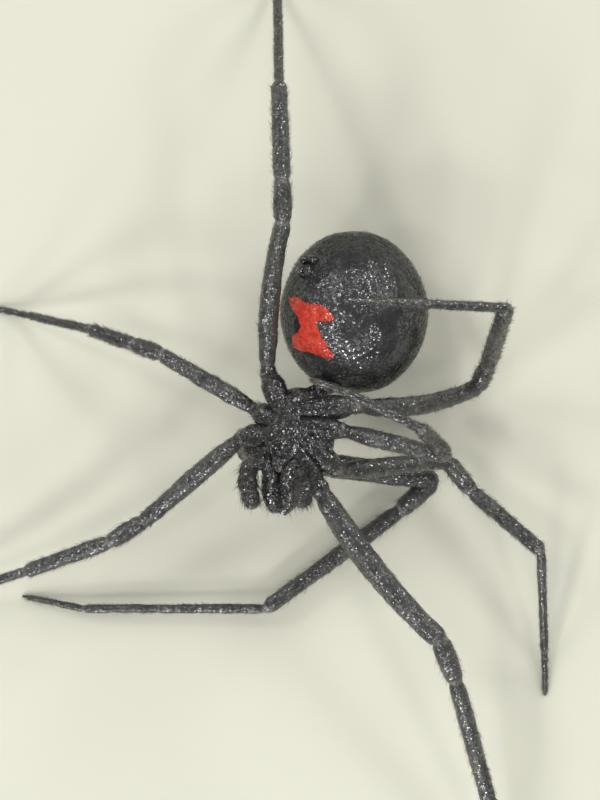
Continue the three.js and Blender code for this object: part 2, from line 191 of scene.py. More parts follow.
def abdomen_point(latitude, turn, lift=0.0):
    """A point of the abdomen from its latitude towards the rear and its turn from the belly's midline."""
    x, y, z = np.sin(turn) * np.cos(latitude), np.sin(latitude), np.cos(turn) * np.cos(latitude)
    return abdomen_ball(x, y, z, lift)


def belly_point(latitude, across, lift=0.0):
    """A point of the belly from its latitude in degrees and its distance across the belly."""
    level = np.cos(latitude * DEG)
    return abdomen_point(latitude * DEG, across / (ABDOMEN["half_width"] * level), lift)


def frame_shift():
    """Where the building frame's origin is in the part's frame. The solid abdomen is the same ball on a grid
    of 30 by 20, so the right and front sides of its box say how far it was moved."""
    around, down = np.meshgrid(np.linspace(0, 2 * np.pi, 31), np.linspace(0, np.pi, 21))
    solid = abdomen_ball(-np.cos(around) * np.sin(down), np.cos(down), np.sin(around) * np.sin(down))
    low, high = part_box("abdomen")
    return np.array([high.x / MM - solid[..., 0].max(), low.y / MM - solid[..., 1].min(), 0.0])


SHIFT = frame_shift()


def waves(points, seed, count, shortest, longest):
    """A smooth uneven field between about -1 and 1: the sum of sines of random direction, phase and
    wavelength, divided by the root of their count."""
    draw = np.random.default_rng(seed)
    directions = unit(draw.normal(size=(count, 3)))
    numbers = 2 * np.pi / draw.uniform(shortest, longest, count)
    phases = draw.uniform(0, 2 * np.pi, count)
    return np.sin(points @ (directions * numbers[:, None]).T + phases).sum(-1) / np.sqrt(count)


def grid_shell(rings, **marks):
    """A closed surface through a grid of points: each ring is joined to the next and closed on itself, and
    the first and last rings are closed by a fan to the middle of each."""
    rows, columns = rings.shape[:2]
    index = np.arange(rows * columns).reshape(rows, columns)
    turned = np.roll(index, -1, 1)
    quads = np.stack([index[:-1], turned[:-1], turned[1:], index[1:]], -1).reshape(-1, 4)
    first, last = rows * columns, rows * columns + 1
    fans = [np.stack([turned[0], index[0], np.full(columns, first)], -1),
            np.stack([index[-1], turned[-1], np.full(columns, last)], -1)]
    triangles = np.concatenate(fans)
    points = np.concatenate([rings.reshape(-1, 3), rings[:1].mean(1), rings[-1:].mean(1)])
    values = {name: np.concatenate([mark.ravel(), mark[:1].mean(1), mark[-1:].mean(1)])
              for name, mark in marks.items()}
    centred = points - points.mean(0)
    a, b, c = centred[np.concatenate([quads[:, :3], quads[:, [0, 2, 3]], triangles])].transpose(1, 0, 2)
    if np.einsum("ij,ij->", a, np.cross(b, c)) < 0:
        quads, triangles = quads[:, ::-1], triangles[:, ::-1]
    return {"points": points, "quads": quads, "triangles": triangles, "marks": values}


def make_piece(name, shells, material, replaced=()):
    """One Blender object from one or more shells, in metres in the part's frame."""
    counts = [len(shell["points"]) for shell in shells]
    starts = np.concatenate([[0], np.cumsum(counts)[:-1]])
    points = np.concatenate([shell["points"] for shell in shells])
    quads = np.concatenate([shell["quads"] + start for shell, start in zip(shells, starts)])
    triangles = np.concatenate([shell["triangles"] + start for shell, start in zip(shells, starts)])
    corners = np.concatenate([quads.ravel(), triangles.ravel()])
    sizes = np.concatenate([np.full(len(quads), 4), np.full(len(triangles), 3)])
    mesh = bpy.data.meshes.new(name)
    mesh.vertices.add(len(points))
    mesh.vertices.foreach_set("co", ((points + SHIFT) * MM).ravel())
    mesh.loops.add(len(corners))
    mesh.loops.foreach_set("vertex_index", corners.astype(np.int32))
    mesh.polygons.add(len(sizes))
    mesh.polygons.foreach_set("loop_start", np.concatenate([[0], np.cumsum(sizes)[:-1]]).astype(np.int32))
    mesh.polygons.foreach_set("use_smooth", np.ones(len(sizes), bool))
    for mark in shells[0]["marks"]:
        attribute = mesh.attributes.new(mark, "FLOAT", "POINT")
        attribute.data.foreach_set("value", np.concatenate([shell["marks"][mark] for shell in shells]))
    mesh.update()
    if "patches" in shells[0]:
        patches = np.concatenate([shell["patches"] for shell in shells])
        mesh.uv_layers.new(name="OFBake").data.foreach_set("uv", patches[corners].ravel())
    mesh.validate()
    mesh.materials.append(material)
    piece = bpy.data.objects.new(name, mesh)
    bpy.context.scene.collection.objects.link(piece)
    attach(piece, "root")
    if replaced:
        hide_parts(*replaced)
    return piece


# Limbs

def smooth_along(values, window):
    """Values along a path averaged over a bell-shaped window, with both ends carried on straight."""
    reach = 3 * window
    bell = np.exp(-0.5 * (np.arange(-reach, reach + 1) / window) ** 2)
    steps = np.arange(reach, 0, -1)[:, None]
    before = values[0] - steps * (values[1] - values[0])
    after = values[-1] + steps[::-1] * (values[-1] - values[-2])
    padded = np.concatenate([before, values, after])
    columns = [np.convolve(column, bell / bell.sum(), "valid") for column in padded.T]
    return np.stack(columns, -1)


def limb_course(joints, profiles, radii, bow=None, bowed=None, spacing=0.05, rounding=0.11):
    """A limb's centre line and radius. The centre line is straight from joint to joint, with its bends
    rounded; the bowed segment stands out by 4t(1-t). profiles gives [share of the segment, share of its
    radius], and joint is a bell curve of the distance to the nearest joint."""
    lengths = np.linalg.norm(np.diff(joints, axis=0), axis=1)
    knots = np.concatenate([[0], np.cumsum(lengths)])
    s = np.linspace(0, knots[-1], int(knots[-1] / spacing) + 1)
    centre = np.stack([np.interp(s, knots, joints[:, k]) for k in range(3)], -1)
    if bowed is not None:
        t = np.clip((s - knots[bowed]) / lengths[bowed], 0, 1)
        centre = centre + (4 * t * (1 - t))[:, None] * bow
    places = np.concatenate([knots[i] + np.array(p)[:, 0] * lengths[i] for i, p in enumerate(profiles)])
    sizes = np.concatenate([radii[i] * np.array(p)[:, 1] for i, p in enumerate(profiles)])
    radius = np.interp(s, places, sizes)
    centre = smooth_along(centre, max(1, round(rounding / spacing)))
    radius = smooth_along(radius[:, None], 1)[:, 0]
    along = unit(np.gradient(centre, axis=0))
    steadiest = np.linalg.eigh(along.T @ along)[1][:, 0]
    normal = unit(steadiest - (along @ steadiest)[:, None] * along)
    nearest = np.abs(s[:, None] - knots[None, 1:-1]).min(1)
    return {"s": s, "centre": centre, "radius": radius, "along": along, "normal": normal,
            "side": np.cross(along, normal), "joint": np.exp(-((nearest / JOINT_WIDTH) ** 2)), "knots": knots}


def without_joints(course):
    """The same limb with no pale joints."""
    return {**course, "joint": np.zeros_like(course["joint"])}


def limb_skin(course, sides, seed, unevenness=0.012):
    """Rings round a limb's centre line, uneven by slow waves, and pressed flat where they reach the floor.
    inner falls from 1 at the body to 0 further out, as exp(-(s/2)^4)."""
    turn = np.linspace(0, 2 * np.pi, sides, endpoint=False)[None, :, None]
    out = np.cos(turn) * course["normal"][:, None] + np.sin(turn) * course["side"][:, None]
    rings = course["centre"][:, None] + out * course["radius"][:, None, None]
    rings = rings + out * (unevenness * waves(rings, seed, 14, 0.35, 1.4))[..., None]
    rings[..., 2] = np.maximum(rings[..., 2], 0)
    inner = np.exp(-((course["s"] / 2.0) ** 4))
    joint, inner = (np.repeat(mark[:, None], sides, 1) for mark in (course["joint"], inner))
    return grid_shell(rings, joint=joint, inner=inner)


def spikes(roots, outward, along, lengths, thickness, places, bend=0.55):
    """Tapered bristles of three sides: each leaves its root at an angle, then bends towards the way it lies.
    Its patch on the unwrap is a spot at its root's place, with a corner for each of its points."""
    count = len(roots)
    first = unit(outward * (1.05 - bend) + along * 0.8)
    second = unit(outward * (0.5 - 0.6 * bend) + along)
    a = unit(np.cross(first, along + 0.31 * outward + 0.17))
    b = np.cross(first, a)
    turn = np.arange(3) * 2 * np.pi / 3
    ring = (np.cos(turn)[None, :, None] * a[:, None] + np.sin(turn)[None, :, None] * b[:, None])
    thick = np.broadcast_to(thickness, count)[:, None, None]
    low = (roots - first * 0.02)[:, None] + ring * thick
    elbow = roots + first * (0.5 * lengths)[:, None]
    middle = elbow[:, None] + ring * thick * 0.62
    tip = (elbow + second * (0.5 * lengths)[:, None])[:, None]
    points = np.concatenate([low, middle, tip], 1)
    start = (np.arange(count) * 7)[:, None, None]
    quads = np.array([(i, (i + 1) % 3, 3 + (i + 1) % 3, 3 + i) for i in range(3)])
    triangles = np.array([(3 + i, 3 + (i + 1) % 3, 6) for i in range(3)] + [(2, 1, 0)])
    spot = 0.0012 * np.stack([np.cos(np.arange(7) * 2.4), np.sin(np.arange(7) * 2.4)], -1)
    points[..., 2] = np.maximum(points[..., 2], 0.004)
    return {"points": points.reshape(-1, 3), "quads": (quads + start).reshape(-1, 4),
            "triangles": (triangles + start).reshape(-1, 3), "marks": {},
            "patches": (places[:, None] + spot).reshape(-1, 2)}


def limb_bristles(course, count, start, end, length, thickness, bend=0.55):
    """Bristles spread at random over a limb from start to end, each at its own place along and around it."""
    s = rng.uniform(start, end, count)
    turn = rng.uniform(0, 2 * np.pi, count)
    at = {key: np.stack([np.interp(s, course["s"], course[key][:, k]) for k in range(3)], -1)
          for key in ("centre", "along", "normal", "side")}
    radius = np.interp(s, course["s"], course["radius"])
    outward = unit(np.cos(turn)[:, None] * at["normal"] + np.sin(turn)[:, None] * at["side"])
    roots = at["centre"] + outward * radius[:, None]
    sizes = length * rng.uniform(0.55, 1.25, count) * np.clip(radius / 0.3, 0.65, 1.1)
    lie = unit(unit(at["along"]) + 0.25 * rng.normal(size=(count, 3)))
    places = np.stack([0.02 + 0.96 * s / course["s"][-1], 0.02 + 0.96 * turn / (2 * np.pi)], -1)
    return spikes(roots, outward, lie, sizes, thickness, places, bend)


# How thick each segment is along its length: share of the length, share of the greatest radius
COXA = [(0, 0.7), (0.2, 0.85), (0.45, 1), (0.72, 1.02), (0.86, 0.86), (0.92, 0.7)]
TROCHANTER_END = [(0.96, 0.72), (1, 0.84)]
FEMUR = [(0, 0.82), (0.03, 0.8), (0.055, 0.66), (0.09, 0.8), (0.25, 1), (0.55, 0.98), (0.85, 0.86),
         (0.975, 0.86), (1, 0.7)]
PATELLA = [(0.02, 0.72), (0.1, 0.92), (0.45, 1), (0.9, 0.9), (1, 0.72)]
TIBIA = [(0.02, 0.76), (0.07, 0.96), (0.25, 1), (0.7, 0.92), (0.96, 0.92), (1, 0.66)]
METATARSUS = [(0.012, 0.85), (0.04, 1.12), (0.5, 1), (0.97, 0.95), (1, 0.72)]
TARSUS = [(0.02, 0.8), (0.07, 1), (0.5, 0.92), (0.88, 0.78), (1, 0.4)]
PROFILES = [COXA + TROCHANTER_END, FEMUR, PATELLA, TIBIA, METATARSUS, TARSUS]


def leg_joints(name):
    """A leg's joints from inside the front body to the claw. Where the leg rests, its last two segments end
    at the ankle's height and on the floor."""
    pair, side = int(name[1]), 1 if name[0] == "r" else -1
    pose = POSE[name]
    length, azimuth, elevation = pose["hip"]
    across, back = HIP_ROOTS[pair]
    root = in_front((side * across, back, HIP_DEPTH))
    joints = [root - 0.2 * length * heading(azimuth, elevation), root + length * heading(azimuth, elevation)]
    for i, (azimuth, elevation) in enumerate(pose["segments"]):
        length = SEGMENT_LENGTHS[pair][i]
        if pose["ankle"] and i > 2:
            height = pose["ankle"] if i == 3 else FOOT_HEIGHT
            elevation = np.arcsin((height - joints[-1][2]) / length) / DEG
        joints.append(joints[-1] + length * heading(azimuth, elevation))
    return np.array(joints)


def leg_course(name):
    """A leg's centre line and radius, with its femur bowed."""
    pose = POSE[name]
    joints = leg_joints(name)
    forward = unit(joints[2] - joints[1])
    bow = pose["bow"][0] * unit(np.cross(UP, forward)) + pose["bow"][1] * UP
    return limb_course(joints, PROFILES, SEGMENT_RADII[int(name[1])], bow, 1)


def claws(course):
    """Two small hooked claws at a leg's tip: each is a short limb of two segments, bent aside and down."""
    tip, along, side = course["centre"][-1], course["along"][-1], course["side"][-1]
    shells = []
    for lean in (-1, 1):
        start = tip - along * 0.03
        bend = start + along * 0.07 + side * lean * 0.03
        end = bend + along * 0.04 - UP * 0.03 + side * lean * 0.02
        joints = np.array([start, bend, end])
        joints[:, 2] = np.maximum(joints[:, 2], 0.025)
        profiles = [[(0, 1), (1, 0.8)], [(0, 0.8), (1, 0.2)]]
        hook = limb_course(joints, profiles, [0.026, 0.022], spacing=0.012, rounding=0.02)
        shells.append(limb_skin(hook, 8, 3, 0))
    return shells


def make_legs(skin, claw, coat):
    """Each leg is one skin from hip to claw along its centre line, with bristles from the hip's middle on."""
    claw_shells = []
    for number, name in enumerate(POSE):
        course = leg_course(name)
        nodes = [f"leg_{name}_{part}" for part in ("femur", "shank", "foot")]
        shell = limb_skin(course, LIMB_SIDES, 40 + number)
        make_piece(f"leg_{name}_skin", [shell], skin, nodes)
        knots = course["knots"]
        ends = [0.45 * knots[1], knots[1], knots[2], knots[4], knots[-1] - 0.05]
        groups = [limb_bristles(course, count, start, end, length, thickness, bend)
                  for (count, length, thickness, bend), start, end in zip(LEG_BRISTLES, ends, ends[1:])]
        make_piece(f"leg_{name}_bristles", groups, coat)
        claw_shells += claws(course)
    make_piece("leg_claws", claw_shells, claw)


def palp_course(plan):
    """A palp's centre line through its four segments, and its radius, which swells and narrows in each. joint
    also marks the tip, by a bell curve twice as high."""
    joints = [in_front(plan["root"])]
    for length, azimuth, elevation in plan["segments"]:
        joints.append(joints[-1] + length * heading(azimuth, elevation))
    segment = [(0.04, 0.86), (0.3, 1), (0.8, 1), (0.98, 0.86)]
    tip = [(0.04, 0.88), (0.35, 1), (0.75, 0.82), (0.93, 0.6), (1, 0.35)]
    course = limb_course(np.array(joints), [segment] * 3 + [tip], PALP_RADII, spacing=0.03, rounding=0.09)
    course["joint"] = course["joint"] + 2 * np.exp(-(((course["s"][-1] - course["s"]) / 0.15) ** 2))
    return course


def make_palps(skin, coat):
    """Each palp is one skin along its centre line, with many short bristles and a few long ones."""
    for number, (side, plan) in enumerate(PALPS.items()):
        course = palp_course(plan)
        end = course["s"][-1]
        shell = limb_skin(course, LIMB_SIDES + 4, 60 + number)
        make_piece(f"palp_{side}_skin", [shell], skin, [f"palp_{side}"])
        groups = [limb_bristles(course, 600, 0.1, end - 0.06, 0.22, 0.0065, 0.5),
                  limb_bristles(course, 90, 0.3, end - 0.03, 0.4, 0.0075, 0.4)]
        make_piece(f"palp_{side}_bristles", groups, coat)


# The front body

def front_grid(rows, columns):
    """Angles for a closed form with its poles at the rear and the front: down from the rear, and around."""
    down = np.linspace(0, np.pi, rows + 2)[1:-1]
    around = np.linspace(0, 2 * np.pi, columns, endpoint=False)
    return np.meshgrid(down, around, indexing="ij")


def carapace_shell():
    """The shield over the front body: an egg whose width narrows to the head, higher at the head, with a neck
    groove on each side, a pit at the middle of the back, and faint grooves that run out from the pit."""
    down, around = front_grid(120, 160)
    y = np.cos(down)
    across, depth = np.sin(down) * np.cos(around), np.sin(down) * np.sin(around)
    front = np.maximum(-y, 0)
    dorsal = np.clip(-depth, 0, 1)
    width = CARAPACE["width"] / 2 * (1 - CARAPACE["head_taper"] * front)
    width = width * (1 - 0.07 * np.exp(-((y + 0.3) / 0.13) ** 2) * dorsal)
    height = np.where(depth > 0, CARAPACE["below"], CARAPACE["above"] * (1 + 0.16 * front))
    x = across * width
    z = depth * height + CARAPACE["margin"]
    spread = np.hypot(x, (y - 0.25) * 2.0)
    grooves = np.cos(7 * np.arctan2(x, (y - 0.25) * 2.0)) * np.exp(-((spread - 0.8) / 0.5) ** 2)
    pit = np.exp(-(x / 0.22) ** 2 - ((y - 0.25) / 0.09) ** 2)
    neck = np.exp(-((y + 0.3 - 0.22 * np.abs(x)) / 0.055) ** 2) * np.exp(-((np.abs(x) - 0.7) / 0.4) ** 2)
    z = z + dorsal * (0.028 * grooves + 0.2 * pit + 0.06 * neck)
    rim = 0.05 * np.exp(-(depth / 0.08) ** 2) * np.sin(down)
    points = np.stack([x * (1 + rim), y * CARAPACE["length"] / 2 - CARAPACE["forward"], z], -1)
    return grid_shell(in_front(points), joint=np.zeros(down.shape))


def sternum_width(y):
    """The breastplate's half width: it narrows to the rear by the taper, and 1 - y^2 widens its middle."""
    return STERNUM["half_width"] * (1 - STERNUM["rear_taper"] * (y + 1) / 2 + 0.18 * (1 - y * y))


def sternum_shell():
    """The breastplate: a low shield, widest ahead of its middle and drawn to a point at the rear, its edge
    notched by a cosine for the hips."""
    down, around = front_grid(60, 90)
    y = np.cos(down)
    depth = np.sin(down) * np.sin(around)
    z = depth * np.where(depth > 0, STERNUM["dome"], STERNUM["depth"]) - STERNUM["dome"]
    x = np.sin(down) * np.cos(around) * sternum_width(y) * 1.06
    notches = 0.03 * np.cos(4 * np.pi * y) * np.abs(np.cos(around))
    points = np.stack([x * (1 + notches), y * STERNUM["half_length"] * 1.04, z + 0.03], -1)
    return grid_shell(in_front(points), joint=np.zeros(down.shape))


def mouth_shells():
    """The lip and a jaw lobe on each side that leans in over it, each a ball stretched and bent along y."""
    down, around = front_grid(30, 44)
    x, y, z = np.sin(down) * np.cos(around), np.cos(down), np.sin(down) * np.sin(around)
    lip = np.stack([x * (0.38 + 0.06 * y), y * 0.34 - 1.28, z * 0.3 - 0.17], -1)
    shells = [grid_shell(in_front(lip), joint=0.5 * np.exp(-((y + 0.8) / 0.3) ** 2))]
    for side in (-1, 1):
        middle = side * (0.47 + 0.16 * y)
        lobe = np.stack([x * (0.35 - 0.03 * y) + middle, y * 0.58 - 1.55, z * 0.33 - 0.24], -1)
        inner = np.exp(-((side * x + 0.8) / 0.4) ** 2) * np.exp(-((y + 0.6) / 0.5) ** 2)
        shells.append(grid_shell(in_front(lobe), joint=inner))
    return shells


def pedicel_shell():
    """The stalk between front body and abdomen: a short limb, narrowest in its middle, sunk into both."""
    start = in_front((0, 1.2, -0.8))
    end = belly_point(PEDICEL["latitude"], PEDICEL["across"])
    way = end - start
    joints = np.array([start - 0.3 * way, start + 0.5 * way, end + 0.3 * way])
    course = limb_course(joints, [[(0, 1.15), (1, 0.9)], [(0, 0.9), (1, 1.15)]], [PEDICEL["radius"]] * 2)
    return limb_skin(without_joints(course), LIMB_SIDES, 5)


def make_front_body(skin, coat):
    """Shield, breastplate, mouth parts and stalk as one piece, and short bristles on the breastplate that
    point to the front."""
    shells = [carapace_shell(), sternum_shell(), *mouth_shells(), pedicel_shell()]
    make_piece("front_body_skin", shells, skin, ["cephalothorax", "pedicel"])
    count = BREASTPLATE_BRISTLES
    down, around = np.arccos(rng.uniform(-0.97, 0.97, count)), rng.uniform(0.1, np.pi - 0.1, count)
    y = np.cos(down)
    local = np.stack([np.sin(down) * np.cos(around) * sternum_width(y), y * STERNUM["half_length"],
                      np.sin(down) * np.sin(around) * STERNUM["dome"] - STERNUM["dome"] + 0.035], -1)
    outward = unit(np.stack([local[:, 0] * 0.4, y * 0.2, np.ones(count)], -1)) @ FRONT_AXES
    lie = unit(-FRONT_AXES[1] + 0.3 * rng.normal(size=(count, 3)))
    places = np.stack([0.5 + local[:, 0] * 0.3, 0.5 + local[:, 1] * 0.3], -1)
    hairs = spikes(in_front(local), outward, lie, rng.uniform(0.1, 0.24, count), 0.006, places, 0.3)
    make_piece("breastplate_bristles", [hairs], coat)


def make_eyes(material):
    """Eight eyes in two rows across the front of the head: a ball for each, part sunk."""
    rows = [(-2.12, -1.42, (0.17, 0.5), (0.13, 0.11)), (-1.82, -1.74, (0.18, 0.56), (0.11, 0.11))]
    down, around = front_grid(16, 24)
    ball = np.stack([np.sin(down) * np.cos(around), np.cos(down), np.sin(down) * np.sin(around)], -1)
    shells = []
    for back, up, sides, radii in rows:
        for side, radius in zip(sides, radii):
            for mirror in (-1, 1):
                centre = in_front((mirror * side, back + 0.16 * side, up + 0.3 * side * side))
                shells.append(grid_shell(centre + ball * radius))
    make_piece("eyes", shells, material)


def make_jaws(skin, fang, coat):
    """The two fang bases, limbs of two segments that lean together towards the front, and a short curved fang
    folded under each."""
    fangs, hairs = [], []
    for side, name in ((-1, "left"), (1, "right")):
        base, tip = (in_front((side * p[0], p[1], p[2])) for p in (CHELICERA["base"], CHELICERA["tip"]))
        middle = (base + tip) / 2 + 0.05 * side * FRONT_AXES[0] + 0.05 * FRONT_AXES[2]
        joints = np.array([base, middle, tip])
        profiles = [[(0, 0.75), (0.3, 0.95), (1, 0.97)], [(0, 0.97), (0.5, 0.72), (0.85, 0.47), (1, 0.26)]]
        radii = [CHELICERA["radius"]] * 2
        course = without_joints(limb_course(joints, profiles, radii, spacing=0.03, rounding=0.2))
        shell = limb_skin(course, LIMB_SIDES + 8, 70 + side)
        make_piece(f"chelicera_{name}_skin", [shell], skin, [f"chelicera_{name}"])
        root = tip - 0.1 * course["along"][-1] + 0.05 * FRONT_AXES[2]
        hook = np.array([root, root - side * 0.16 * FRONT_AXES[0] + 0.08 * FRONT_AXES[2],
                         root - side * 0.26 * FRONT_AXES[0] + 0.02 * FRONT_AXES[2] + 0.12 * FRONT_AXES[1]])
        fang_course = limb_course(hook, [[(0, 1), (1, 0.75)], [(0, 0.75), (1, 0.12)]], [0.075, 0.075],
                                  spacing=0.015, rounding=0.04)
        fangs.append(limb_skin(fang_course, 14, 9, 0))
        end = course["s"][-1]
        hairs += [limb_bristles(course, 220, 0.2, end - 0.04, 0.17, 0.0065, 0.5),
                  limb_bristles(course, 24, 0.6 * end, end - 0.02, 0.4, 0.0075, 0.3)]
    make_piece("fangs", fangs, fang)
    make_piece("chelicera_bristles", hairs, coat)


# The abdomen

def distance_inside(points, outline):
    """Distance from each point to the nearest edge of a closed outline, positive inside. The nearest point of
    an edge is the foot of the perpendicular, kept between its ends, and a point is inside where a line to the
    right crosses an odd number of edges."""
    start, end = outline, np.roll(outline, -1, 0)
    way = end - start
    relative = points[:, None] - start
    share = np.clip((relative * way).sum(-1) / (way * way).sum(-1), 0, 1)
    nearest = np.linalg.norm(relative - share[..., None] * way, axis=-1).min(1)
    crosses = (start[:, 1] > points[:, None, 1]) != (end[:, 1] > points[:, None, 1])
    slope = way[:, 0] / np.where(way[:, 1] == 0, 1e-9, way[:, 1])
    left_of = points[:, None, 0] < start[:, 0] + (points[:, None, 1] - start[:, 1]) * slope
    inside = (crosses & left_of).sum(1) % 2 == 1
    return np.where(inside, nearest, -nearest)


def belly_map(latitude, turn):
    """Distances across and along the belly for a latitude and a turn."""
    return np.stack([turn * ABDOMEN["half_width"] * np.cos(latitude), latitude * ABDOMEN["half_length"]], -1)


def abdomen_relief(latitude, turn):
    """How far the abdomen's skin stands out: slow swellings, fine leathery wrinkles, the groove across the
    belly ahead of the mark, and two rows of pits along the back. Groove and pits are bell curves."""
    base = abdomen_point(latitude, turn)
    relief = 0.014 * waves(base, 11, 12, 1.0, 2.4) + 0.0045 * waves(base, 12, 40, 0.16, 0.4)
    across, along = np.moveaxis(belly_map(latitude, turn), -1, 0)
    belly = np.cos(turn) > 0
    furrow = np.exp(-((along + 2.75 + 0.1 * np.cos(across * 1.6)) / 0.07) ** 2)
    furrow = furrow * np.exp(-(across / 1.25) ** 4)
    relief = relief - 0.06 * furrow * belly
    back_across = (np.abs(turn) - np.pi) * ABDOMEN["half_width"] * np.cos(latitude)
    for place, spread in ((-1.1, 0.62), (0.0, 0.5), (1.0, 0.42)):
        pit = np.exp(-((along - place) / 0.13) ** 2 - ((np.abs(back_across) - spread) / 0.13) ** 2)
        relief = relief - 0.05 * pit * ~belly
    return relief


def make_abdomen(skin, coat):
    """The abdomen: the ball with its relief on a grid of latitude and turn, pressed flat on the floor. mark
    is the distance inside the red mark's edge, and upward grows to the belly's top, as height^1.3."""
    latitude = np.linspace(-np.pi / 2, np.pi / 2, 242)[1:-1]
    turn = np.linspace(-np.pi, np.pi, 360, endpoint=False)
    latitude, turn = np.meshgrid(latitude, turn, indexing="ij")
    rings = abdomen_point(latitude, turn, abdomen_relief(latitude, turn) - 0.01)
    rings[..., 2] = np.maximum(rings[..., 2], 0)
    mark = distance_inside(belly_map(latitude, turn).reshape(-1, 2), HOURGLASS).reshape(latitude.shape)
    mark = np.where(np.abs(turn) < 1.4, mark, -3.0)
    outward = unit(rings - np.array(ABDOMEN["centre"]))
    # upward also sets the painted shade that darkens the abdomen's sides in its material
    upward = 0.08 + 0.8 * np.clip(outward[..., 2], 0, 1) ** 1.3
    shell = grid_shell(rings, mark=np.clip(mark, -3, 3), upward=upward)
    make_piece("abdomen_skin", [shell], skin, ["abdomen", "hourglass"])

    count = ABDOMEN_BRISTLES
    latitude, turn = np.arcsin(rng.uniform(-0.98, 0.98, count)), rng.uniform(-np.pi, np.pi, count)
    roots = abdomen_point(latitude, turn, abdomen_relief(latitude, turn) - 0.01)
    outward = unit(roots - np.array(ABDOMEN["centre"]))
    lie = unit(abdomen_point(latitude + 0.02, turn) - abdomen_point(latitude, turn))
    lie = unit(lie + 0.3 * rng.normal(size=(count, 3)))
    places = np.stack([0.5 + 0.48 * turn / np.pi, 0.5 + 0.96 * latitude / np.pi], -1)
    clear = roots[:, 2] > 0.2
    hairs = spikes(roots[clear], outward[clear], lie[clear], rng.uniform(0.09, 0.19, count)[clear], 0.0045,
                   places[clear], 0.45)
    make_piece("abdomen_bristles", [hairs], coat)


def make_spinnerets(skin, coat):
    """Four large cones in two rows that lean together, two small ones between them, and a low knob. Each is a
    limb from its root in the skin, with a step where its last joint starts."""
    spec = SPINNERETS
    plans = [(side * spec["spread"], row, spec["radius"], 1.0) for side in (-1, 1) for row in (-0.6, 0.6)]
    plans += [(side * 0.1, 0.0, 0.1, 0.7) for side in (-1, 1)] + [(0.0, 1.7, 0.17, 0.55)]
    shells, hairs = [], []
    for number, (side, row, radius, reach) in enumerate(plans):
        root = belly_point(spec["latitude"] + row * 9, spec["across"] + side, -spec["sunk"])
        toward = belly_point(spec["latitude"] + row * 7, spec["across"] + side * 0.7, spec["length"])
        tip = root + unit(toward - root) * spec["length"] * reach
        profile = [(0, 1.05), (0.6, 1), (0.68, 0.88), (0.75, 0.92), (0.93, 0.62), (1, 0.3)]
        course = limb_course(np.array([root, (root + tip) / 2, tip]), [profile[:1] + [(1, 1)], profile[1:]],
                             [radius, radius], spacing=0.025, rounding=0.05)
        shells.append(limb_skin(without_joints(course), 28, 80 + number, 0.006))
        end = course["s"][-1]
        hairs.append(limb_bristles(course, 90, 0.5 * end, end - 0.01, 0.13, 0.007, 0.4))
    make_piece("spinnerets_skin", shells, skin)
    make_piece("spinnerets_bristles", hairs, coat)


# Materials

def start_material(name):
    """A new material with its shader, and Object coordinates scaled to millimetres."""
    material = bpy.data.materials.new(name)
    material.use_nodes = True
    nodes, links = material.node_tree.nodes, material.node_tree.links
    shader = nodes["Principled BSDF"]
    place = nodes.new("ShaderNodeMapping")
    place.inputs["Scale"].default_value = (1 / MM,) * 3
    links.new(nodes.new("ShaderNodeTexCoord").outputs["Object"], place.inputs["Vector"])
    return material, nodes, links, shader, place.outputs["Vector"]


def noise(nodes, links, vector, scale, detail=4.0, roughness=0.55):
    """Uneven values around 0.5, with scale swings to the millimetre."""
    node = nodes.new("ShaderNodeTexNoise")
    node.inputs["Scale"].default_value = scale
    node.inputs["Detail"].default_value = detail
    node.inputs["Roughness"].default_value = roughness
    links.new(vector, node.inputs["Vector"])
    return node.outputs["Fac"]


def cells(nodes, links, vector, scale):
    """Distance to the nearest of a set of scattered points, scale of them to the millimetre."""
    node = nodes.new("ShaderNodeTexVoronoi")
    node.inputs["Scale"].default_value = scale
    links.new(vector, node.inputs["Vector"])
    return node.outputs["Distance"]


def spread(nodes, links, value, low, high, to_low=0.0, to_high=1.0):
    """A value between low and high, moved in proportion to between to_low and to_high and kept there."""
    node = nodes.new("ShaderNodeMapRange")
    node.inputs["From Min"].default_value = low
    node.inputs["From Max"].default_value = high
    node.inputs["To Min"].default_value = to_low
    node.inputs["To Max"].default_value = to_high
    links.new(value, node.inputs["Value"])
    return node.outputs["Result"]


def mottle(nodes, links, place, scale, low, high, to_low=0.0, to_high=1.0):
    """Soft patches, scale of them to the millimetre: uneven values spread over a range."""
    return spread(nodes, links, noise(nodes, links, place, scale), low, high, to_low, to_high)


def combined(nodes, links, first, second, operation):
    """Two values added or multiplied."""
    node = nodes.new("ShaderNodeMath")
    node.operation = operation
    for socket, value in zip(node.inputs, (first, second)):
        if isinstance(value, float):
            socket.default_value = value
        else:
            links.new(value, socket)
    return node.outputs["Value"]


def blend_colours(nodes, links, factor, first, second):
    """From the first colour at 0 to the second at 1."""
    node = nodes.new("ShaderNodeMix")
    node.data_type = "RGBA"
    links.new(factor, node.inputs["Factor"])
    for socket, colour in ((node.inputs[6], first), (node.inputs[7], second)):
        if isinstance(colour, tuple):
            socket.default_value = (*colour, 1)
        else:
            links.new(colour, socket)
    return node.outputs[2]


def bumps(nodes, links, height, depth, strength):
    """The normal of a surface with bumps of a depth in millimetres."""
    node = nodes.new("ShaderNodeBump")
    node.inputs["Distance"].default_value = depth * MM
    node.inputs["Strength"].default_value = strength
    links.new(height, node.inputs["Height"])
    return node.outputs["Normal"]


